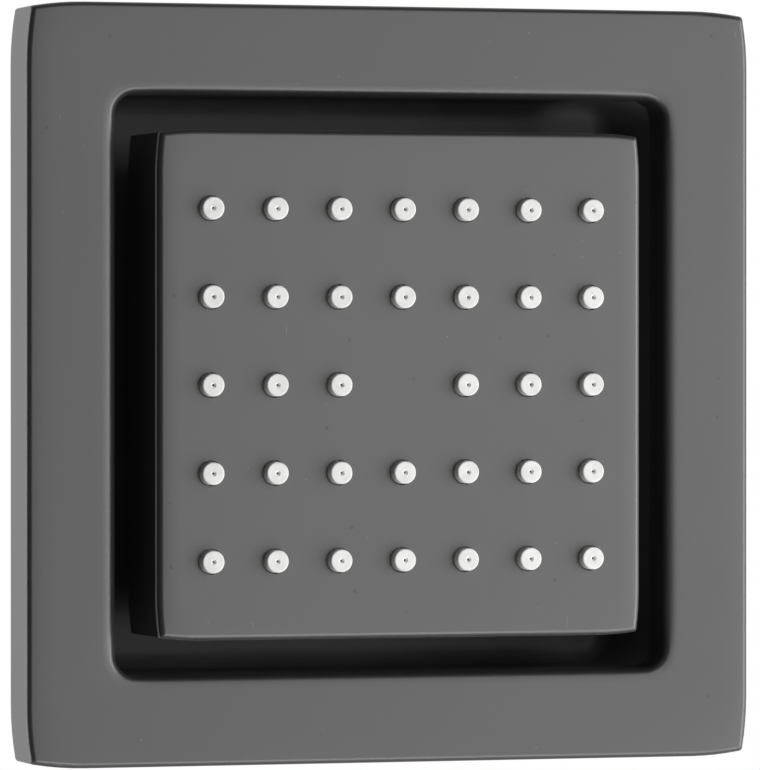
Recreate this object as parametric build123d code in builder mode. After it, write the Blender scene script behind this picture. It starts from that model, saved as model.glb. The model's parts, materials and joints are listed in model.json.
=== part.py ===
from build123d import *

import os
from math import cos, radians, sin

# Square wall-mounted body spray with a swivelling head, in millimetres.
# X is to the right seen from the front, Z is up and Y runs into the wall.
# The finished wall is the plane y = 0 and the inlet axis is the Y axis.

# Escutcheon frame; its sides roll in towards the corners, as the head's do
frame_side = 150.0
frame_depth = 13.0
frame_border = 18.0
frame_wall = 3.0
frame_front_thickness = 3.0
frame_corner_radius = 0.8
frame_roll_length = 12.0
frame_roll_drop = 1.0
frame_edge_radius = 1.1
rim_shadow_gap = 0.3
rim_inner_corner_radius = 2.0
opening_corner_radius = 4.0
lip_radius = 1.3
lip_wall = 2.7
lip_depth = 8.5

# Recess pan behind the frame
pan_sheet = 1.2
pan_clearance = 0.6
pan_corner_radius = 6.0
pan_floor_radius = 4.0
pan_flange_clearance = 0.4
boss_radius = 4.0
boss_core = 1.2
pan_screw_radius = 2.0
pan_screw_head_radius = 3.5
pan_screw_head_height = 2.0
pan_screw_recess_radius = 1.3
pan_screw_recess_depth = 1.0
gasket_width = 3.4
gasket_clearance = 0.2

# Spray head
head_gap = 7.0
head_depth = 22.0
head_proud = 5.5
head_wall = 1.5
head_face_thickness = 2.0
head_corner_radius = 0.5
head_roll_length = 9.0
head_roll_drop = 0.6
head_edge_radius = 1.1
head_inner_corner_radius = 2.0
insert_clearance = 0.3

# Nozzle layout: a grid with its middle place left empty
nozzle_columns = 7
nozzle_rows = 5
nozzle_margin_x = 10.7
nozzle_margin_z = 15.4
nozzle_hole_radius = 2.55
nozzle_clearance = 0.25
nozzle_taper = 1.0
nozzle_proud = 2.2
nozzle_tip_radius = 0.3
nozzle_tip_wall = 1.6
nozzle_bore_radius = 1.2
orifice_radius = 0.25
orifice_flare = 0.3
mat_thickness = 1.5

# Retainer plate and water chamber behind the mat
retainer_thickness = 2.0
retainer_hole_radius = 1.6
cover_flange_thickness = 3.0
chamber_screw_gap = 0.2
chamber_corner_radius = 8.0
chamber_depth = 7.5
chamber_wall = 2.4
chamber_back_thickness = 2.5
seal_inset = 0.4
seal_width = 1.8
seal_height = 1.5
seal_clearance = 0.1
pillar_radius = 2.3
pillar_clearance = 0.4
pillar_wall_gap = 0.3
cover_screw_radius = 1.25
cover_screw_bite = 4.0
cover_screw_head_radius = 2.2
cover_screw_head_height = 1.6
cover_screw_recess_radius = 0.9
cover_screw_recess_depth = 0.8
screw_clearance = 0.05

# Ball joint
ball_radius = 10.0
ball_front_gap = 1.0
joint_clearance = 0.05
stem_radius = 6.0
waterway_radius = 4.0
port_radius = 5.5
seat_wall = 1.4
seat_depth = 4.3
neck_wall = 3.0
neck_reach = 2.0
thread_clearance = 0.05
liner_thickness = 1.4
liner_front_angle = 84.0
liner_back_angle = 52.0
collar_lip_angle = 55.0
collar_lip_thickness = 2.5
collar_hex_wall = 2.4
collar_tail_wall = 2.5
collar_hex_length = 9.0

# Inlet behind the ball
collar_swing_gap = 4.2
inlet_flange_thickness = 3.0
inlet_flange_overhang = 1.5
shank_wall = 2.7
regulator_stop = 2.0
inlet_washer_thickness = 1.5
inlet_washer_width = 3.9
nut_washer_thickness = 1.2
nut_washer_width = 4.9
lock_nut_height = 6.0
lock_nut_wall = 4.0
lock_nut_chamfer = 1.0
thread_bore_radius = 9.3
thread_length = 13.0
filter_bore_step = 0.4
filter_screen_thickness = 0.6
filter_seal_thickness = 2.4
filter_seal_bore_radius = 6.0
filter_hole_radius = 0.7
filter_hole_pitch = 2.0
regulator_bore_radius = 6.3
regulator_thickness = 4.5
regulator_cup_radius = 4.6
regulator_cup_depth = 2.4
regulator_post_radius = 1.7
regulator_ring_section = 0.9
regulator_port_radius = 0.7
regulator_port_count = 6
press_clearance = 0.1

# Sizes across the axis worked out from the sizes above
opening_side = frame_side - 2 * frame_border
head_side = opening_side - 2 * head_gap
pan_side = opening_side + 2 * pan_clearance
pan_outer_side = pan_side + 2 * pan_sheet
pan_outer_corner_radius = pan_corner_radius + pan_sheet
rim_inner_side = frame_side - 2 * frame_wall
boss_offset = (pan_outer_side + rim_inner_side) / 4
pan_flange_side = rim_inner_side - 2 * pan_flange_clearance
insert_side = head_side - 2 * (head_wall + insert_clearance)
insert_corner_radius = head_inner_corner_radius
nozzle_pitch_x = (head_side - 2 * nozzle_margin_x) / (nozzle_columns - 1)
nozzle_pitch_z = (head_side - 2 * nozzle_margin_z) / (nozzle_rows - 1)
nozzle_base_radius = nozzle_hole_radius - nozzle_clearance
pillar_offset = head_side / 2 - head_wall - pillar_wall_gap - pillar_radius
chamber_half = pillar_offset - cover_screw_head_radius - chamber_screw_gap - chamber_wall
chamber_side = 2 * chamber_half
seat_outer_radius = ball_radius + seat_wall
seat_bore_radius = seat_outer_radius + press_clearance
neck_radius = seat_bore_radius + neck_wall
collar_thread_radius = neck_radius + thread_clearance
socket_radius = ball_radius + joint_clearance
liner_outer_radius = socket_radius + liner_thickness
collar_socket_radius = liner_outer_radius + joint_clearance
collar_hex_flat = 2 * (collar_thread_radius + collar_hex_wall)
collar_tail_radius = collar_socket_radius + collar_tail_wall
shank_radius = thread_bore_radius + shank_wall
shank_hole_radius = shank_radius + press_clearance
inlet_flange_flat = 2 * (shank_radius + inlet_flange_overhang)
lock_nut_flat = 2 * (shank_radius + lock_nut_wall)
filter_bore_radius = thread_bore_radius - filter_bore_step

# Depths along Y worked out from the sizes above
frame_front = -frame_depth
frame_back = -rim_shadow_gap
frame_inner_front = frame_front + frame_front_thickness
pan_seat = frame_front + lip_depth
pan_flange_back = pan_seat + pan_sheet
head_front = frame_front - head_proud
head_back = head_front + head_depth
mat_front = head_front + head_face_thickness
mat_back = mat_front + mat_thickness
retainer_back = mat_back + retainer_thickness
cover_flange_back = retainer_back + cover_flange_thickness
chamber_back = retainer_back + chamber_depth
cover_back = chamber_back + chamber_back_thickness
nozzle_tip = head_front - nozzle_proud
ball_depth = cover_back - ball_front_gap + ball_radius
neck_back = ball_depth - neck_reach
collar_lip_front = ball_depth + collar_socket_radius * cos(radians(collar_lip_angle))
collar_back = collar_lip_front + collar_lip_thickness
inlet_flange_front = collar_back + collar_swing_gap
inlet_flange_back = inlet_flange_front + inlet_flange_thickness
pan_floor_front = inlet_flange_back + inlet_washer_thickness
pan_floor_back = pan_floor_front + pan_sheet
nut_washer_back = pan_floor_back + nut_washer_thickness
lock_nut_back = nut_washer_back + lock_nut_height
regulator_front = inlet_flange_front + regulator_stop
filter_front = regulator_front + regulator_thickness
filter_seal_front = filter_front + filter_screen_thickness
filter_seal_back = filter_seal_front + filter_seal_thickness
inlet_mouth = filter_seal_back + thread_length

# Places that repeat
nozzle_points = [
    (column * nozzle_pitch_x, row * nozzle_pitch_z)
    for column in range(-(nozzle_columns // 2), nozzle_columns // 2 + 1)
    for row in range(-(nozzle_rows // 2), nozzle_rows // 2 + 1)
    if (column, row) != (0, 0)
]
pillar_points = [
    (column * pillar_offset, row * pillar_offset)
    for column in (-1, 0, 1)
    for row in (-1, 0, 1)
    if (column, row) != (0, 0)
]
boss_points = [(x * boss_offset, z * boss_offset) for x in (-1, 1) for z in (-1, 1)]


def at_depth(y):
    """Front-facing sketch plane at depth y; a positive extrusion comes forward."""
    return Plane.XZ.offset(-y)


def rolled_block(side, roll_length, roll_drop, back, front, edge_radius, corner_radius):
    """Square block whose sides roll in towards crisp corners, with its front edge rounded."""
    half = side / 2
    knee = half - roll_length
    tip = half - roll_drop
    with BuildPart() as block:
        with BuildSketch(at_depth(back)):
            with BuildLine():
                for turn in (0, 90, 180, 270):
                    corner = Vector(tip, tip).rotate(Axis.Z, turn)
                    side_end = Vector(half, knee).rotate(Axis.Z, turn)
                    top_start = Vector(knee, half).rotate(Axis.Z, turn)
                    top_end = Vector(-knee, half).rotate(Axis.Z, turn)
                    TangentArc(side_end, corner, tangent=Vector(0, 1).rotate(Axis.Z, turn))
                    TangentArc(top_start, corner, tangent=Vector(1, 0).rotate(Axis.Z, turn))
                    Line(top_start, top_end)
            make_face()
        extrude(amount=back - front)
        fillet(faces().sort_by(Axis.Y)[0].edges(), edge_radius)
        fillet(edges().filter_by(Axis.Y).sort_by_distance((0, back, 0))[-4:], corner_radius)
    return block.part


def on_sphere(radius, angle):
    """Profile point on a sphere about the ball centre, by its angle from the inlet axis."""
    return (radius * sin(radians(angle)), ball_depth + radius * cos(radians(angle)))


# Escutcheon frame: a hollow casting with a rounded lip round the opening
frame_block = rolled_block(
    frame_side,
    frame_roll_length,
    frame_roll_drop,
    frame_back,
    frame_front,
    frame_edge_radius,
    frame_corner_radius,
)
with BuildPart() as escutcheon_frame:
    add(frame_block)
    with BuildSketch(at_depth(frame_back)):
        RectangleRounded(opening_side, opening_side, opening_corner_radius)
    extrude(amount=frame_back - frame_front, mode=Mode.SUBTRACT)
    fillet(faces().sort_by(Axis.Y)[0].inner_wires()[0].edges(), lip_radius)
    lip_side = opening_side + 2 * lip_wall
    with BuildSketch(at_depth(frame_back)):
        RectangleRounded(rim_inner_side, rim_inner_side, rim_inner_corner_radius)
        RectangleRounded(
            lip_side, lip_side, opening_corner_radius + lip_wall, mode=Mode.SUBTRACT
        )
    extrude(amount=frame_back - frame_inner_front, mode=Mode.SUBTRACT)
    with BuildSketch(at_depth(frame_back)):
        Rectangle(lip_side, lip_side)
    extrude(amount=frame_back - pan_seat, mode=Mode.SUBTRACT)
    with BuildSketch(at_depth(pan_seat)):
        with Locations(*boss_points):
            Circle(boss_radius)
    extrude(amount=pan_seat - frame_inner_front)
    with BuildSketch(at_depth(pan_seat)):
        with Locations(*boss_points):
            Circle(pan_screw_radius)
    extrude(amount=pan_seat - frame_front - boss_core, mode=Mode.SUBTRACT)
escutcheon_frame.part.label = "escutcheon_frame"

# Recess pan: a deep-drawn tub, open at the front, with a hole for the inlet
with BuildPart() as recess_pan:
    with BuildSketch(at_depth(pan_floor_back)):
        RectangleRounded(pan_outer_side, pan_outer_side, pan_outer_corner_radius)
    extrude(amount=pan_floor_back - pan_seat)
    fillet(faces().sort_by(Axis.Y)[-1].edges(), pan_floor_radius + pan_sheet)
    offset(amount=-pan_sheet, openings=faces().sort_by(Axis.Y)[0])
    with BuildSketch(at_depth(pan_floor_back)):
        Circle(shank_hole_radius)
    extrude(amount=pan_sheet, mode=Mode.SUBTRACT)
recess_pan.part.label = "recess_pan"

# Pan flange: a flat ring welded round the pan's mouth, which screws to the frame
with BuildPart() as pan_flange:
    flange_hole_side = pan_outer_side + 2 * press_clearance
    flange_hole_radius = pan_outer_corner_radius + press_clearance
    with BuildSketch(at_depth(pan_flange_back)):
        RectangleRounded(pan_flange_side, pan_flange_side, rim_inner_corner_radius)
        RectangleRounded(
            flange_hole_side, flange_hole_side, flange_hole_radius, mode=Mode.SUBTRACT
        )
        with Locations(*boss_points):
            Circle(pan_screw_radius + press_clearance, mode=Mode.SUBTRACT)
    extrude(amount=pan_sheet)
pan_flange.part.label = "pan_flange"

# Foam gasket on the pan's flange, inside the frame's rim, flush with the wall
with BuildPart() as wall_gasket:
    gasket_side = pan_flange_side - 2 * gasket_clearance
    gasket_inner_side = gasket_side - 2 * gasket_width
    with BuildSketch(at_depth(0)):
        RectangleRounded(gasket_side, gasket_side, rim_inner_corner_radius)
        Rectangle(gasket_inner_side, gasket_inner_side, mode=Mode.SUBTRACT)
        with Locations(*boss_points):
            Circle(pan_screw_head_radius + gasket_clearance, mode=Mode.SUBTRACT)
    extrude(amount=-pan_flange_back)
wall_gasket.part.label = "wall_gasket"

# Pan-head screws through the flange into the frame's bosses
with BuildPart() as pan_screws:
    with BuildSketch(at_depth(pan_flange_back)):
        with Locations(*boss_points):
            Circle(pan_screw_radius - screw_clearance)
    extrude(amount=pan_flange_back - frame_front - 2 * boss_core)
    with BuildSketch(at_depth(pan_flange_back + pan_screw_head_height)):
        with Locations(*boss_points):
            Circle(pan_screw_head_radius)
    extrude(amount=pan_screw_head_height)
    fillet(edges().group_by(Axis.Y)[-1], pan_screw_head_height / 2)
    with BuildSketch(at_depth(pan_flange_back + pan_screw_head_height)):
        with Locations(*boss_points):
            RegularPolygon(pan_screw_recess_radius, 6)
    extrude(amount=pan_screw_recess_depth, mode=Mode.SUBTRACT)
pan_screws.part.label = "pan_screws"

# Spray plate: the head's face and flanks in one shell, with screw pillars inside
head_block = rolled_block(
    head_side,
    head_roll_length,
    head_roll_drop,
    head_back,
    head_front,
    head_edge_radius,
    head_corner_radius,
)
with BuildPart() as spray_plate:
    add(head_block)
    with BuildSketch(at_depth(head_back)):
        RectangleRounded(
            head_side - 2 * head_wall, head_side - 2 * head_wall, head_inner_corner_radius
        )
    extrude(amount=head_depth - head_face_thickness, mode=Mode.SUBTRACT)
    with BuildSketch(at_depth(retainer_back)):
        with Locations(*pillar_points):
            Circle(pillar_radius)
    extrude(amount=retainer_back - mat_front)
    with BuildSketch(at_depth(retainer_back)):
        with Locations(*pillar_points):
            Circle(cover_screw_radius)
    extrude(amount=cover_screw_bite, mode=Mode.SUBTRACT)
    with BuildSketch(at_depth(mat_front)):
        with Locations(*nozzle_points):
            Circle(nozzle_hole_radius)
    extrude(amount=head_face_thickness, mode=Mode.SUBTRACT)
spray_plate.part.label = "spray_plate"

# Nozzle mat: one soft moulding whose hollow nozzles stand through the plate
with BuildPart() as nozzle_mat:
    with BuildSketch(at_depth(mat_back)):
        RectangleRounded(insert_side, insert_side, insert_corner_radius)
        with Locations(*pillar_points):
            Circle(pillar_radius + pillar_clearance, mode=Mode.SUBTRACT)
    extrude(amount=mat_thickness)
    with BuildSketch(at_depth(mat_front)):
        with Locations(*nozzle_points):
            Circle(nozzle_base_radius)
    extrude(amount=mat_front - nozzle_tip, taper=nozzle_taper)
    fillet(edges().group_by(Axis.Y)[0], nozzle_tip_radius)
    with BuildSketch(at_depth(mat_back)):
        with Locations(*nozzle_points):
            Circle(nozzle_bore_radius)
    extrude(amount=mat_back - nozzle_tip - nozzle_tip_wall, mode=Mode.SUBTRACT)
    with BuildSketch(at_depth(nozzle_tip + nozzle_tip_wall)):
        with Locations(*nozzle_points):
            Circle(orifice_radius)
    extrude(amount=nozzle_tip_wall, mode=Mode.SUBTRACT)
    tip_rims = edges().group_by(Axis.Y)[0]
    chamfer(tip_rims.filter_by(lambda rim: rim.radius < nozzle_bore_radius), orifice_flare)
nozzle_mat.part.label = "nozzle_mat"

# Retainer plate that presses the mat against the face
with BuildPart() as mat_retainer:
    with BuildSketch(at_depth(retainer_back)):
        RectangleRounded(insert_side, insert_side, insert_corner_radius)
        with Locations(*pillar_points):
            Circle(pillar_radius + pillar_clearance, mode=Mode.SUBTRACT)
        with Locations(*nozzle_points):
            Circle(retainer_hole_radius, mode=Mode.SUBTRACT)
    extrude(amount=retainer_thickness)
mat_retainer.part.label = "mat_retainer"

# Chamber cover: the moulded back of the head, with the threaded neck of the ball joint
groove_inner_side = chamber_side + 2 * seal_inset
groove_inner_radius = chamber_corner_radius + seal_inset
groove_width = seal_width + 2 * seal_clearance
with BuildPart() as chamber_cover:
    dome_side = chamber_side + 2 * chamber_wall
    with BuildSketch(at_depth(cover_back)):
        RectangleRounded(dome_side, dome_side, chamber_corner_radius + chamber_wall)
    extrude(amount=cover_back - cover_flange_back)
    fillet(faces().sort_by(Axis.Y)[-1].edges(), chamber_wall)
    with BuildSketch(at_depth(cover_flange_back)):
        RectangleRounded(insert_side, insert_side, insert_corner_radius)
    extrude(amount=cover_flange_thickness)
    with BuildSketch(at_depth(neck_back)):
        Circle(neck_radius)
    extrude(amount=neck_back - chamber_back)
    with BuildSketch(at_depth(chamber_back)):
        RectangleRounded(chamber_side, chamber_side, chamber_corner_radius)
    extrude(amount=chamber_depth, mode=Mode.SUBTRACT)
    with BuildSketch(at_depth(neck_back)):
        Circle(seat_bore_radius)
    extrude(amount=neck_back - cover_back, mode=Mode.SUBTRACT)
    with BuildSketch(at_depth(cover_back)):
        Circle(port_radius)
    extrude(amount=chamber_back_thickness, mode=Mode.SUBTRACT)
    with BuildSketch(at_depth(retainer_back + seal_height)):
        groove_side = groove_inner_side + 2 * groove_width
        RectangleRounded(groove_side, groove_side, groove_inner_radius + groove_width)
        RectangleRounded(
            groove_inner_side, groove_inner_side, groove_inner_radius, mode=Mode.SUBTRACT
        )
    extrude(amount=seal_height, mode=Mode.SUBTRACT)
    with BuildSketch(at_depth(cover_flange_back)):
        with Locations(*pillar_points):
            Circle(cover_screw_radius + press_clearance)
    extrude(amount=cover_flange_thickness, mode=Mode.SUBTRACT)
chamber_cover.part.label = "chamber_cover"

# Square seal in the cover's groove
with BuildPart() as chamber_seal:
    seal_inner_side = groove_inner_side + 2 * seal_clearance
    seal_inner_radius = groove_inner_radius + seal_clearance
    seal_side = seal_inner_side + 2 * seal_width
    with BuildSketch(at_depth(retainer_back + seal_height)):
        RectangleRounded(seal_side, seal_side, seal_inner_radius + seal_width)
        RectangleRounded(seal_inner_side, seal_inner_side, seal_inner_radius, mode=Mode.SUBTRACT)
    extrude(amount=seal_height)
chamber_seal.part.label = "chamber_seal"

# Screws that draw the cover, retainer and mat onto the plate's pillars
with BuildPart() as cover_screws:
    with BuildSketch(at_depth(cover_flange_back)):
        with Locations(*pillar_points):
            Circle(cover_screw_radius - screw_clearance)
    extrude(amount=cover_flange_thickness + cover_screw_bite - screw_clearance)
    with BuildSketch(at_depth(cover_flange_back + cover_screw_head_height)):
        with Locations(*pillar_points):
            Circle(cover_screw_head_radius)
    extrude(amount=cover_screw_head_height)
    with BuildSketch(at_depth(cover_flange_back + cover_screw_head_height)):
        with Locations(*pillar_points):
            RegularPolygon(cover_screw_recess_radius, 6)
    extrude(amount=cover_screw_recess_depth, mode=Mode.SUBTRACT)
cover_screws.part.label = "cover_screws"

# Cup seal in the neck, hollowed to the ball in front of it
with BuildPart() as cup_seal:
    with BuildSketch():
        with Locations((0, cover_back)):
            Rectangle(seat_outer_radius, seat_depth, align=(Align.MIN, Align.MIN))
        with Locations((0, cover_back)):
            Rectangle(
                port_radius, seat_depth, align=(Align.MIN, Align.MIN), mode=Mode.SUBTRACT
            )
        with Locations((0, ball_depth)):
            Circle(socket_radius, mode=Mode.SUBTRACT)
    revolve(axis=Axis.Y)
cup_seal.part.label = "cup_seal"

# Slip liner: a spherical zone between the ball and the collar nut
with BuildPart() as slip_liner:
    with BuildSketch():
        with BuildLine():
            inner_front = on_sphere(socket_radius, liner_front_angle)
            inner_middle = on_sphere(socket_radius, (liner_front_angle + liner_back_angle) / 2)
            inner_back = on_sphere(socket_radius, liner_back_angle)
            outer_front = on_sphere(liner_outer_radius, liner_front_angle)
            outer_middle = on_sphere(
                liner_outer_radius, (liner_front_angle + liner_back_angle) / 2
            )
            outer_back = on_sphere(liner_outer_radius, liner_back_angle)
            ThreePointArc(inner_front, inner_middle, inner_back)
            Line(inner_back, outer_back)
            ThreePointArc(outer_back, outer_middle, outer_front)
            Line(outer_front, inner_front)
        make_face()
    revolve(axis=Axis.Y)
slip_liner.part.label = "slip_liner"

# Collar nut: hexagon on the neck's thread, with a round tail that closes over the liner
with BuildPart() as collar_nut:
    with BuildSketch(at_depth(cover_back + collar_hex_length)):
        RegularPolygon(collar_hex_flat / 2, 6, major_radius=False)
    extrude(amount=collar_hex_length)
    with BuildSketch(at_depth(cover_back + collar_hex_length)):
        Circle(collar_hex_flat / 2)
    with BuildSketch(at_depth(collar_back)):
        Circle(collar_tail_radius)
    loft()
    with BuildSketch(at_depth(ball_depth)):
        Circle(collar_thread_radius)
    extrude(amount=ball_depth - cover_back, mode=Mode.SUBTRACT)
    with BuildSketch():
        with Locations((0, ball_depth)):
            Circle(collar_socket_radius)
        with Locations((0, ball_depth)):
            Rectangle(
                2 * collar_socket_radius,
                2 * collar_socket_radius,
                align=(Align.MAX, Align.CENTER),
                mode=Mode.SUBTRACT,
            )
        with Locations((0, ball_depth)):
            Rectangle(
                collar_socket_radius * sin(radians(collar_lip_angle)),
                collar_back - ball_depth,
                align=(Align.MIN, Align.MIN),
            )
    revolve(axis=Axis.Y, mode=Mode.SUBTRACT)
collar_nut.part.label = "collar_nut"

# Ball inlet: ball, stem, spanner flange and threaded shank turned in one piece
with BuildPart() as ball_inlet:
    with BuildSketch():
        with Locations((0, ball_depth)):
            Circle(ball_radius)
        with Locations((0, ball_depth)):
            Rectangle(
                2 * ball_radius,
                2 * ball_radius,
                align=(Align.MAX, Align.CENTER),
                mode=Mode.SUBTRACT,
            )
        with Locations((0, ball_depth)):
            Rectangle(
                stem_radius, inlet_flange_front - ball_depth, align=(Align.MIN, Align.MIN)
            )
        with Locations((0, inlet_flange_back)):
            Rectangle(
                shank_radius, inlet_mouth - inlet_flange_back, align=(Align.MIN, Align.MIN)
            )
    revolve(axis=Axis.Y)
    with BuildSketch(at_depth(inlet_flange_back)):
        RegularPolygon(inlet_flange_flat / 2, 6, major_radius=False)
    extrude(amount=inlet_flange_thickness)
    with BuildSketch():
        with Locations((0, ball_depth - ball_radius)):
            Rectangle(
                waterway_radius,
                inlet_mouth - ball_depth + ball_radius,
                align=(Align.MIN, Align.MIN),
            )
        with Locations((0, regulator_front)):
            Rectangle(
                regulator_bore_radius, inlet_mouth - regulator_front, align=(Align.MIN, Align.MIN)
            )
        with Locations((0, filter_front)):
            Rectangle(
                filter_bore_radius, inlet_mouth - filter_front, align=(Align.MIN, Align.MIN)
            )
        with Locations((0, filter_seal_back)):
            Rectangle(thread_bore_radius, thread_length, align=(Align.MIN, Align.MIN))
    revolve(axis=Axis.Y, mode=Mode.SUBTRACT)
ball_inlet.part.label = "ball_inlet"


def washer(outer_radius, inner_radius, front, thickness):
    """Flat ring about the inlet axis, from its front face backwards."""
    with BuildPart() as ring:
        with BuildSketch(at_depth(front + thickness)):
            Circle(outer_radius)
            Circle(inner_radius, mode=Mode.SUBTRACT)
        extrude(amount=thickness)
    return ring.part


# Rings on the shank and in its socket
inlet_washer = washer(
    shank_hole_radius + inlet_washer_width,
    shank_hole_radius,
    inlet_flange_back,
    inlet_washer_thickness,
)
inlet_washer.label = "inlet_washer"
nut_washer = washer(
    shank_hole_radius + nut_washer_width,
    shank_hole_radius,
    pan_floor_back,
    nut_washer_thickness,
)
nut_washer.label = "nut_washer"
filter_seal = washer(
    filter_bore_radius - press_clearance,
    filter_seal_bore_radius,
    filter_seal_front,
    filter_seal_thickness,
)
filter_seal.label = "filter_seal"

# Lock nut that draws the pan's floor against the inlet's flange
with BuildPart() as lock_nut:
    with BuildSketch(at_depth(lock_nut_back)):
        RegularPolygon(lock_nut_flat / 2, 6, major_radius=False)
    extrude(amount=lock_nut_height)
    chamfer(faces().sort_by(Axis.Y)[-1].edges(), lock_nut_chamfer)
    with BuildSketch(at_depth(lock_nut_back)):
        Circle(shank_radius + thread_clearance)
    extrude(amount=lock_nut_height, mode=Mode.SUBTRACT)
lock_nut.part.label = "lock_nut"

# Filter screen: a pierced disc held by the filter seal
with BuildPart() as filter_screen:
    with BuildSketch(at_depth(filter_seal_front)):
        Circle(filter_bore_radius - press_clearance)
        Circle(filter_hole_radius, mode=Mode.SUBTRACT)
        for ring in (1, 2):
            with PolarLocations(ring * filter_hole_pitch, 6 * ring):
                Circle(filter_hole_radius, mode=Mode.SUBTRACT)
    extrude(amount=filter_screen_thickness)
filter_screen.part.label = "filter_screen"

# Flow regulator: a cup with a post, ports round it and a rubber ring on the post
regulator_port_circle = regulator_post_radius + regulator_ring_section
with BuildPart() as regulator_body:
    with BuildSketch(at_depth(filter_front)):
        Circle(regulator_bore_radius - press_clearance)
    extrude(amount=regulator_thickness)
    with BuildSketch(at_depth(filter_front)):
        Circle(regulator_cup_radius)
        Circle(regulator_post_radius, mode=Mode.SUBTRACT)
    extrude(amount=regulator_cup_depth, mode=Mode.SUBTRACT)
    with BuildSketch(at_depth(filter_front)):
        with PolarLocations(regulator_port_circle, regulator_port_count):
            Circle(regulator_port_radius)
    extrude(amount=regulator_thickness, mode=Mode.SUBTRACT)
regulator_body.part.label = "regulator_body"

with BuildPart() as regulator_ring:
    ring_centre = filter_front - regulator_cup_depth + regulator_ring_section
    with BuildSketch():
        with Locations((regulator_port_circle + press_clearance, ring_centre)):
            Circle(regulator_ring_section)
    revolve(axis=Axis.Y)
regulator_ring.part.label = "regulator_ring"

pieces = [
    escutcheon_frame.part,
    recess_pan.part,
    pan_flange.part,
    wall_gasket.part,
    pan_screws.part,
    spray_plate.part,
    nozzle_mat.part,
    mat_retainer.part,
    chamber_cover.part,
    chamber_seal.part,
    cover_screws.part,
    cup_seal.part,
    slip_liner.part,
    collar_nut.part,
    ball_inlet.part,
    inlet_washer,
    nut_washer,
    lock_nut.part,
    filter_seal,
    filter_screen.part,
    regulator_body.part,
    regulator_ring.part,
]
os.makedirs("parts", exist_ok=True)
for piece in pieces:
    export_step(piece, f"parts/{piece.label}.step")
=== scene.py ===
import json
from math import cos, pi, radians, sin

import bmesh
import bpy
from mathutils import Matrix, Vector


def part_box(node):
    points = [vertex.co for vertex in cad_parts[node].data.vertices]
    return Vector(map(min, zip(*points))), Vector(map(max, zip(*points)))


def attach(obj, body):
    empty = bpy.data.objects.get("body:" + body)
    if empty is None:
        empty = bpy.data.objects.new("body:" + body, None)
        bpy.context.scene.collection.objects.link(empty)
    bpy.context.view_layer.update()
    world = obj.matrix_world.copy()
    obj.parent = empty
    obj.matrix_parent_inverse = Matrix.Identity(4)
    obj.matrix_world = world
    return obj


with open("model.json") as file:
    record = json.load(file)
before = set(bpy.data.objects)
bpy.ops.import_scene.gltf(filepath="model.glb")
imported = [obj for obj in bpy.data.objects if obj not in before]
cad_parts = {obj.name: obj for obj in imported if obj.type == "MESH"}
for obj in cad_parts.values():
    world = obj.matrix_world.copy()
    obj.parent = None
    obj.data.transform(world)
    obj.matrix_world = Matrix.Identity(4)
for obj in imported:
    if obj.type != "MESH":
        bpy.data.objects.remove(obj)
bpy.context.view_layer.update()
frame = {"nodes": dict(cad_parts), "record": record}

# Square wall-mounted body spray in satin dark grey, in metres.
# X is to the right seen from the front, Z is up and Y runs into the wall.

# Picture and camera
image_width = 760
image_height = 770
focal_pixels = 6556
sensor_size = 36.0
view_turn = radians(17.5)
view_rise = radians(0.36)
view_distance = 1.300
view_reach = 50
aim_right = -0.0027
aim_up = -0.0001

# Studio
floor_drop = 0.80
floor_size = 8.0
floor_shadow_reach = 0.30
floor_fade = 0.35
floor_tone = 0.86
diffuse_fill = 0.27
flag_height = 1.8

# Finishes
frame_tone = 0.083
head_tone = 0.090
coat_metal = 0.72
frame_crown_middle = 0.066
frame_crown_fall = 40000.0
lip_fall_start = 0.0600
lip_fall_radius = 0.0055
head_crown_start = 0.0455
head_crown_radius = 0.035
# Painted light on the head's flank: a pale painted highlight line between these depths behind the face,
# then painted shade, near black, further back
painted_highlight_start = 0.0008
painted_shade_start = 0.0020
plate_blend = 0.00015
# Painted light: the pan's black coat is given a dark grey tone so that the shaded well reads brighter
pan_painted_light_tone = 0.13
# Tones of the painted highlight line and of the painted shade on the head's flank
painted_highlight_tone = 0.70
flank_painted_shade_low = 0.040
flank_painted_shade_high = 0.060
square_power = 20.0
foam_cell = 0.0009

# Pipe threads on the inlet; foot and crest are half widths in pitches
thread_pitch = 0.001814
thread_height = 0.0006
thread_root = 0.00005
thread_foot = 0.44
thread_crest = 0.08
thread_steps = 72
thread_end_room = 0.0006

frame_low, frame_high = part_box("escutcheon_frame")
head_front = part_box("spray_plate")[0].y
inlet_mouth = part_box("ball_inlet")[1].y
lock_nut_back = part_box("lock_nut")[1].y
filter_seal_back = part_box("filter_seal")[1].y
shank_radius = 0.012
socket_radius = 0.0093


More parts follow.
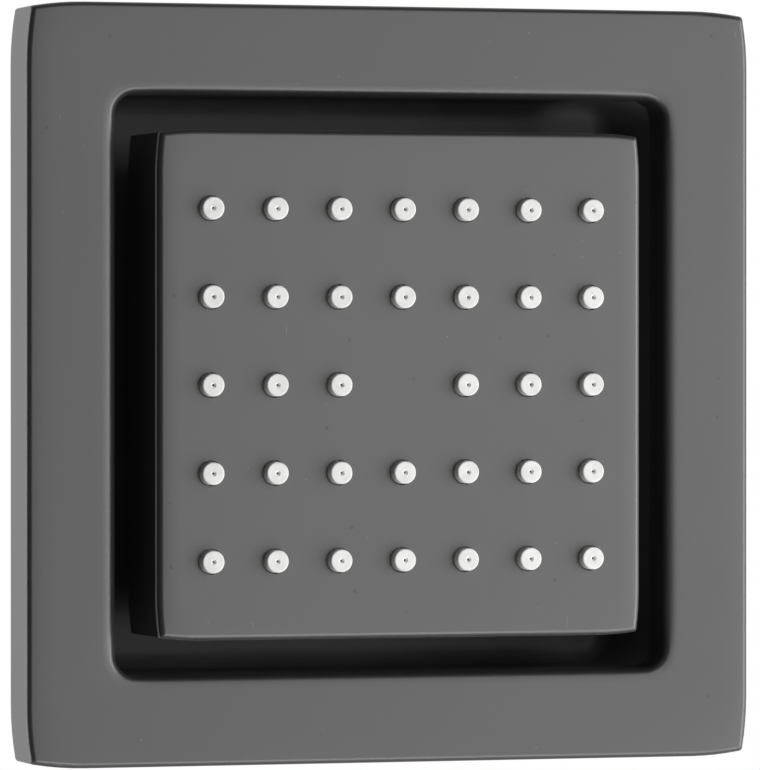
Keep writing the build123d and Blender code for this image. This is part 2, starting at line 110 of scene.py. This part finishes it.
class Wire:
    """One output of a shader node; arithmetic on it adds Math nodes to the same tree."""

    def __init__(self, tree, socket=None):
        self.tree = tree
        self.socket = socket

    def feed(self, target, value):
        """Link a wire to an input socket, or set the socket's own value."""
        if isinstance(value, Wire):
            self.tree.links.new(value.socket, target)
        else:
            target.default_value = value

    def node(self, kind, settings=None, inputs=None, output=0):
        """Add a node, make its settings, then fill its inputs, and return one of its outputs."""
        made = self.tree.nodes.new(kind)
        for name, value in (settings or {}).items():
            setattr(made, name, value)
        for name, value in (inputs or {}).items():
            self.feed(made.inputs[name], value)
        return Wire(self.tree, made.outputs[output])

    def math(self, operation, first, second=0.0):
        return self.node("ShaderNodeMath", {"operation": operation}, {0: first, 1: second})

    def __add__(self, other):
        return self.math("ADD", self, other)

    def __radd__(self, other):
        return self.math("ADD", other, self)

    def __sub__(self, other):
        return self.math("SUBTRACT", self, other)

    def __rsub__(self, other):
        return self.math("SUBTRACT", other, self)

    def __mul__(self, other):
        return self.math("MULTIPLY", self, other)

    def __rmul__(self, other):
        return self.math("MULTIPLY", other, self)

    def __lt__(self, other):
        return self.math("LESS_THAN", self, other)


def place_on(wire):
    """Place on the piece, in metres in the part's frame."""
    return wire.node("ShaderNodeTexCoord", output="Object")


def noise(wire, place, size, detail):
    """Cloudy value about 0.5, with lumps of the given size in metres."""
    inputs = {"Vector": place, "Scale": 1 / size, "Detail": detail}
    return wire.node("ShaderNodeTexNoise", inputs=inputs)


def specks(wire, place, spacing, radius, share):
    """Mask of small round specks: a share of the cells of that spacing holds one."""
    inputs = {"Vector": place, "Scale": 1 / spacing}
    near = wire.node("ShaderNodeTexVoronoi", inputs=inputs, output="Distance") < radius / spacing
    colour = wire.node("ShaderNodeTexVoronoi", inputs=inputs, output="Color")
    chance = wire.node("ShaderNodeSeparateColor", inputs={0: colour}) < share
    return near * chance


def grey(tone):
    """Colour of that tone in all three channels."""
    return (tone, tone, tone, 1)


def blend(wire, mask, first, second):
    """Colour that goes from the first to the second with the mask."""
    return wire.node("ShaderNodeMix", {"data_type": "RGBA"}, {0: mask, 6: first, 7: second}, output=2)


def ramp(wire, value, low, high):
    """Smooth step from 0 at low to 1 at high."""
    inputs = {"Value": value, "From Min": low, "From Max": high}
    return wire.node("ShaderNodeMapRange", {"interpolation_type": "SMOOTHSTEP"}, inputs)


def bump(wire, height, depth):
    """Normal of a relief of that depth in metres."""
    return wire.node("ShaderNodeBump", inputs={"Strength": 1.0, "Distance": depth, "Height": height})


def radius_and_depth(wire, place):
    """Distance from the inlet axis and depth along it."""
    flat = wire.node("ShaderNodeVectorMath", {"operation": "MULTIPLY"}, {0: place, 1: (1, 0, 1)})
    radius = wire.node("ShaderNodeVectorMath", {"operation": "LENGTH"}, {0: flat}, output="Value")
    depth = wire.node("ShaderNodeSeparateXYZ", inputs={0: place}, output="Y")
    return radius, depth


def finish(name, recipe, **settings):
    """Material whose main shader takes the inputs that the recipe works out."""
    material = bpy.data.materials.new(name)
    material.use_nodes = True
    wire = Wire(material.node_tree)
    shader = material.node_tree.nodes["Principled BSDF"]
    for socket, value in recipe(wire, place_on(wire), **settings).items():
        wire.feed(shader.inputs[socket], value)
    return material


def from_axis(wire, place):
    """Distance from the inlet axis measured squarely, the same all along a side of the square."""
    powers = []
    for output in ("X", "Z"):
        across = wire.node("ShaderNodeSeparateXYZ", inputs={0: place}, output=output)
        share = wire.math("ABSOLUTE", across * (1 / frame_high.x))
        powers.append(wire.math("POWER", share, square_power))
    return wire.math("POWER", powers[0] + powers[1], 1 / square_power) * frame_high.x


def fall(wire, past, radius):
    """Height of a face that bends away with the given radius once past its flat part."""
    past = wire.math("MAXIMUM", past, 0.0)
    return past * past * (-0.5 / radius)


def frame_crown(wire, place):
    """Slight crown of the frame's border, with a softer bend at the lip."""
    out = from_axis(wire, place)
    away = out - frame_crown_middle
    square = away * away
    return square * square * -frame_crown_fall + fall(wire, lip_fall_start - out, lip_fall_radius)


def head_crown(wire, place):
    """Fall of the head's face towards its edges."""
    return fall(wire, from_axis(wire, place) - head_crown_start, head_crown_radius)


def satin_coat(wire, place, tone, crown):
    """Satin dark coat on metal: faint orange peel, handling marks, fine grain and a little dust."""
    marks = noise(wire, place, size=0.045, detail=4.0)
    grain = noise(wire, place, size=0.0005, detail=2.0)
    peel = noise(wire, place, size=0.0011, detail=1.0)
    dust = specks(wire, place, spacing=0.004, radius=0.00012, share=0.5)
    smudge = specks(wire, place, spacing=0.006, radius=0.00038, share=0.45)
    hairs = wire.node(
        "ShaderNodeMapping", inputs={"Vector": place, "Rotation": (0, 0.7, 0), "Scale": (1, 1, 0.07)}
    )
    scratch = specks(wire, hairs, spacing=0.002, radius=0.00008, share=0.25)
    shade = tone * (0.91 + 0.12 * marks + 0.06 * grain - 0.22 * smudge)
    return {
        "Base Color": shade + 0.10 * dust + 0.05 * scratch,
        "Metallic": coat_metal,
        "Roughness": 0.34 + 0.10 * marks + 0.2 * dust,
        "Normal": bump(wire, crown(wire, place) + 0.000012 * peel + 0.000005 * grain, 1.0),
    }


def black_coat(wire, place):
    """Black coating on the drawn sheet, painted lighter to dark grey as painted light in the shaded well,
    with a fine pebbled relief.
    """
    pebble = noise(wire, place, size=0.0007, detail=2.0)
    cloud = noise(wire, place, size=0.02, detail=3.0)
    dust = specks(wire, place, spacing=0.007, radius=0.00016, share=0.4)
    return {
        "Base Color": pan_painted_light_tone * (0.7 + 0.6 * cloud) + 0.06 * dust,
        "Roughness": 0.44 + 0.12 * cloud,
        "Normal": bump(wire, pebble, 0.00004),
    }


def white_silicone(wire, place):
    """Soft white silicone with a faint bloom and tiny marks."""
    bloom = noise(wire, place, size=0.003, detail=3.0)
    skin = noise(wire, place, size=0.0004, detail=2.0)
    marks = specks(wire, place, spacing=0.004, radius=0.00012, share=0.3)
    colour = blend(wire, ramp(wire, bloom, 0.35, 0.7), (0.80, 0.80, 0.79, 1), (0.72, 0.72, 0.71, 1))
    return {
        "Base Color": blend(wire, 0.5 * marks, colour, (0.35, 0.35, 0.34, 1)),
        "Roughness": 0.42 + 0.16 * bloom,
        "Normal": bump(wire, skin, 0.00001),
    }


def moulded_plastic(wire, place, first, second):
    """Moulded plastic with a fine spark-eroded grain."""
    grain = noise(wire, place, size=0.0005, detail=1.0)
    flow = noise(wire, place, size=0.012, detail=3.0)
    return {
        "Base Color": blend(wire, flow, first, second),
        "Roughness": 0.34 + 0.14 * flow,
        "Normal": bump(wire, grain, 0.00003),
    }


def black_rubber(wire, place):
    """Moulded black rubber, dull, with a dusting of grey bloom."""
    bloom = ramp(wire, noise(wire, place, size=0.006, detail=4.0), 0.45, 0.75)
    skin = noise(wire, place, size=0.0004, detail=2.0)
    return {
        "Base Color": blend(wire, bloom, grey(0.018), grey(0.045)),
        "Roughness": 0.62 + 0.15 * bloom,
        "Normal": bump(wire, skin, 0.00003),
    }


def gasket_foam(wire, place):
    """Closed-cell foam: small dents between darker cell walls."""
    inputs = {"Vector": place, "Scale": 1 / foam_cell}
    cell = wire.node("ShaderNodeTexVoronoi", inputs=inputs, output="Distance")
    tone = noise(wire, place, size=0.008, detail=3.0)
    return {
        "Base Color": blend(wire, cell * (0.5 + tone), (0.060, 0.060, 0.064, 1), (0.022, 0.022, 0.024, 1)),
        "Roughness": 0.85 + 0.1 * tone,
        "Normal": bump(wire, cell, 0.00015),
    }


def turned_metal(wire, place, light, dark, pitch, rough):
    """Lathe-turned metal: fine rings about the inlet axis, slight tarnish."""
    radius, depth = radius_and_depth(wire, place)
    rings = wire.math("SINE", (radius + depth) * (2 * pi / pitch))
    tarnish = ramp(wire, noise(wire, place, size=0.007, detail=5.0), 0.35, 0.75)
    scratch = noise(wire, place, size=0.0006, detail=3.0)
    return {
        "Base Color": blend(wire, tarnish, light, dark),
        "Metallic": 1.0,
        "Roughness": rough + 0.16 * tarnish + 0.06 * scratch,
        "Normal": bump(wire, rings + 0.8 * scratch, 0.000008),
    }


def head_coat(wire, place):
    """The head's coat: satin on the face, painted shade (near black) on the flank, with a painted highlight
    line along the plate's edge.
    """
    coat = satin_coat(wire, place, head_tone, head_crown)
    depth = wire.node("ShaderNodeSeparateXYZ", inputs={0: place}, output="Y") - head_front
    edge = ramp(wire, depth, painted_highlight_start, painted_highlight_start + plate_blend)
    flank = ramp(wire, depth, painted_shade_start, painted_shade_start + plate_blend)
    cloud = noise(wire, place, size=0.01, detail=3.0)
    # Painted highlight: a pale line painted on the flank just behind the face
    pale = blend(wire, edge, coat["Base Color"], grey(painted_highlight_tone))
    # Painted shade: the flank behind the line is painted near black
    black = blend(wire, cloud, grey(flank_painted_shade_low), grey(flank_painted_shade_high))
    return {
        "Base Color": blend(wire, flank, pale, black),
        "Metallic": coat_metal * (1 - edge),
        "Roughness": coat["Roughness"] + 0.08 * edge,
        "Normal": coat["Normal"],
    }


finishes = {
    "frame_finish": finish("frame_satin_coat", satin_coat, tone=frame_tone, crown=frame_crown),
    "head_finish": finish("head_satin_coat", head_coat),
    "pan_finish": finish("pan_black_coat", black_coat),
    "nozzle_silicone": finish("nozzle_white_silicone", white_silicone),
    "black_plastic": finish(
        "moulded_black_plastic",
        moulded_plastic,
        first=grey(0.022),
        second=grey(0.036),
    ),
    "white_plastic": finish(
        "moulded_white_plastic",
        moulded_plastic,
        first=(0.76, 0.75, 0.71, 1),
        second=(0.66, 0.65, 0.61, 1),
    ),
    "black_rubber": finish("seal_black_rubber", black_rubber),
    "gasket_foam": finish("gasket_grey_foam", gasket_foam),
    "inlet_brass": finish(
        "turned_brass",
        turned_metal,
        light=(0.66, 0.47, 0.20, 1),
        dark=(0.50, 0.33, 0.13, 1),
        pitch=0.00022,
        rough=0.20,
    ),
    "stainless": finish(
        "turned_stainless",
        turned_metal,
        light=(0.60, 0.60, 0.59, 1),
        dark=(0.48, 0.47, 0.46, 1),
        pitch=0.00018,
        rough=0.24,
    ),
}


def dress(piece, slot_name):
    """Give a piece its slot's finish."""
    piece.data.materials.clear()
    piece.data.materials.append(finishes[slot_name])


for entry in frame["record"]["subparts"]:
    dress(frame["nodes"][entry["node"]], entry["material_slot"])


def thread_ridge(name, cylinder_radius, height, start, end):
    """Helical ridge of a pipe thread on a cylinder; a negative height points to the axis."""
    mesh = bmesh.new()
    turns = (end - start - thread_pitch) / thread_pitch
    count = int(turns * thread_steps)
    sink = thread_root if height < 0 else -thread_root
    profile = [
        (-thread_foot, sink),
        (-thread_crest, height),
        (thread_crest, height),
        (thread_foot, sink),
    ]
    rows = []
    for step in range(count + 1):
        angle = 2 * pi * step / thread_steps
        middle = start + thread_pitch * (0.5 + step / thread_steps)
        run_in = min(1, step / thread_steps, (count - step) / thread_steps)
        row = []
        for along, rise in profile:
            radius = cylinder_radius + (rise - sink) * run_in + sink
            place = (radius * cos(angle), middle + along * thread_pitch, radius * sin(angle))
            row.append(mesh.verts.new(place))
        rows.append(row)
    for row, following in zip(rows, rows[1:]):
        for index in range(len(profile) - 1):
            corners = (row[index], row[index + 1], following[index + 1], following[index])
            mesh.faces.new(corners).smooth = True
    bmesh.ops.recalc_face_normals(mesh, faces=mesh.faces)
    data = bpy.data.meshes.new(name)
    mesh.to_mesh(data)
    mesh.free()
    ridge = bpy.data.objects.new(name, data)
    bpy.context.scene.collection.objects.link(ridge)
    dress(ridge, "inlet_brass")
    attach(ridge, "wall_mount")


thread_end = inlet_mouth - thread_end_room
thread_ridge("shank_thread", shank_radius, thread_height, lock_nut_back + thread_end_room, thread_end)
thread_ridge("socket_thread", socket_radius, -thread_height, filter_seal_back + thread_end_room, thread_end)


def stage_plane(name, centre, normal, width, height, material):
    """Flat card of the studio, facing along its normal."""
    mesh = bpy.data.meshes.new(name)
    half_width, half_height = width / 2, height / 2
    corners = [
        (-half_width, -half_height, 0),
        (half_width, -half_height, 0),
        (half_width, half_height, 0),
        (-half_width, half_height, 0),
    ]
    mesh.from_pydata(corners, [], [(0, 1, 2, 3)])
    card = bpy.data.objects.new(name, mesh)
    card.location = centre
    card.rotation_euler = Vector(normal).to_track_quat("Z", "Y").to_euler()
    card.data.materials.append(material)
    bpy.context.scene.collection.objects.link(card)
    return card


def background_rays(wire):
    """1 for the rays that show the background: seen directly, in gloss or through glass."""
    path = {
        ray: wire.node("ShaderNodeLightPath", output=f"Is {ray} Ray")
        for ray in ("Camera", "Glossy", "Transmission")
    }
    return wire.math("MAXIMUM", path["Camera"], wire.math("MAXIMUM", path["Glossy"], path["Transmission"]))


def floor_paper():
    """Pale paper that keeps the shadow near the part and fades to white away from it."""
    material = bpy.data.materials.new("floor_paper")
    material.use_nodes = True
    tree = material.node_tree
    wire = Wire(tree)
    place = place_on(wire)
    distance = wire.node("ShaderNodeVectorMath", {"operation": "LENGTH"}, {0: place}, output="Value")
    far = ramp(wire, distance, floor_shadow_reach, floor_shadow_reach + floor_fade)
    fibre = noise(wire, place, size=0.002, detail=3.0)
    paper = tree.nodes["Principled BSDF"]
    wire.feed(paper.inputs["Base Color"], floor_tone * (0.98 + 0.04 * fibre))
    wire.feed(paper.inputs["Roughness"], 0.9)
    white = wire.node("ShaderNodeEmission", inputs={"Color": (1, 1, 1, 1), "Strength": 1.0})
    factor = far * background_rays(wire)
    mixed = wire.node("ShaderNodeMixShader", inputs={0: factor, 1: Wire(tree, paper.outputs[0]), 2: white})
    wire.feed(tree.nodes["Material Output"].inputs["Surface"], mixed)
    return material


def dark_card():
    """Black velvet of the flags that keep light off the part."""
    material = bpy.data.materials.new("flag_velvet")
    material.use_nodes = True
    wire = Wire(material.node_tree)
    shader = material.node_tree.nodes["Principled BSDF"]
    nap = noise(wire, place_on(wire), size=0.004, detail=3.0)
    wire.feed(shader.inputs["Base Color"], 0.08 + 0.03 * nap)
    wire.feed(shader.inputs["Roughness"], 0.95)
    return material


stage_plane("floor", (0, 0, frame_low.z - floor_drop), (0, 0, 1), floor_size, floor_size, floor_paper())
velvet = dark_card()


def flag(name, start, end, height):
    """Upright dark card between two places in plan, unseen by the camera."""
    start, end = Vector((*start, 0)), Vector((*end, 0))
    across = end - start
    middle = (start + end) / 2
    facing = Vector((across.y, -across.x, 0))
    if facing.dot(middle) > 0:
        facing = -facing
    card = stage_plane(name, middle, facing, across.length, height, velvet)
    card.visible_camera = False


flag("left_front_flag", (-0.02, -0.80), (-0.62, -0.48), flag_height)
flag("left_flag", (-0.62, -0.48), (-0.76, 0.16), flag_height)
top_flag = stage_plane(
    "top_flag", centre=(0, -0.25, 0.75), normal=(0, 0.25, -1), width=1.6, height=0.8, material=velvet
)
top_flag.visible_camera = False


def soft_box(name, centre, width, height, power):
    """Rectangular soft light that points at the part."""
    light = bpy.data.lights.new(name, "AREA")
    light.shape = "RECTANGLE"
    light.size = width
    light.size_y = height
    light.energy = power
    lamp = bpy.data.objects.new(name, light)
    lamp.location = centre
    lamp.rotation_euler = (-Vector(centre)).to_track_quat("-Z", "Y").to_euler()
    bpy.context.scene.collection.objects.link(lamp)


soft_box("right_key", (0.93, -0.52, -0.12), width=0.6, height=1.2, power=10.8)
soft_box("front_fill", (0.42, -1.5, 0.25), width=1.5, height=1.6, power=7.0)
soft_box("low_fill", (0.20, -0.70, -0.66), width=1.0, height=0.4, power=4.8)
soft_box("left_strip", (-0.72, 0.52, 0.0), width=0.3, height=1.0, power=4.0)

world = bpy.data.worlds.new("studio")
bpy.context.scene.world = world
world.use_nodes = True
world_wire = Wire(world.node_tree)
backdrop = world_wire.node("ShaderNodeBackground", inputs={"Color": (1, 1, 1, 1), "Strength": 1.0})
fill = world_wire.node("ShaderNodeBackground", inputs={"Color": (1, 1, 1, 1), "Strength": diffuse_fill})
seen = world_wire.node("ShaderNodeMixShader", inputs={0: background_rays(world_wire), 1: fill, 2: backdrop})
world_wire.feed(world.node_tree.nodes["World Output"].inputs["Surface"], seen)

# Camera at the photograph's viewing angle, to the left of the frame's axis
forward = Vector((sin(view_turn) * cos(view_rise), cos(view_turn) * cos(view_rise), -sin(view_rise)))
right = forward.cross(Vector((0, 0, 1))).normalized()
up = right.cross(forward)
front_middle = Vector((0, frame_low.y, 0))
camera = bpy.data.objects.new("camera", bpy.data.cameras.new("camera"))
camera.data.sensor_width = sensor_size
camera.data.lens = focal_pixels * sensor_size / max(image_width, image_height)
camera.data.clip_end = view_reach
camera.location = front_middle + right * aim_right + up * aim_up - forward * view_distance
camera.rotation_euler = forward.to_track_quat("-Z", "Y").to_euler()
bpy.context.scene.collection.objects.link(camera)
bpy.context.scene.camera = camera
bpy.context.scene.view_settings.view_transform = "Standard"
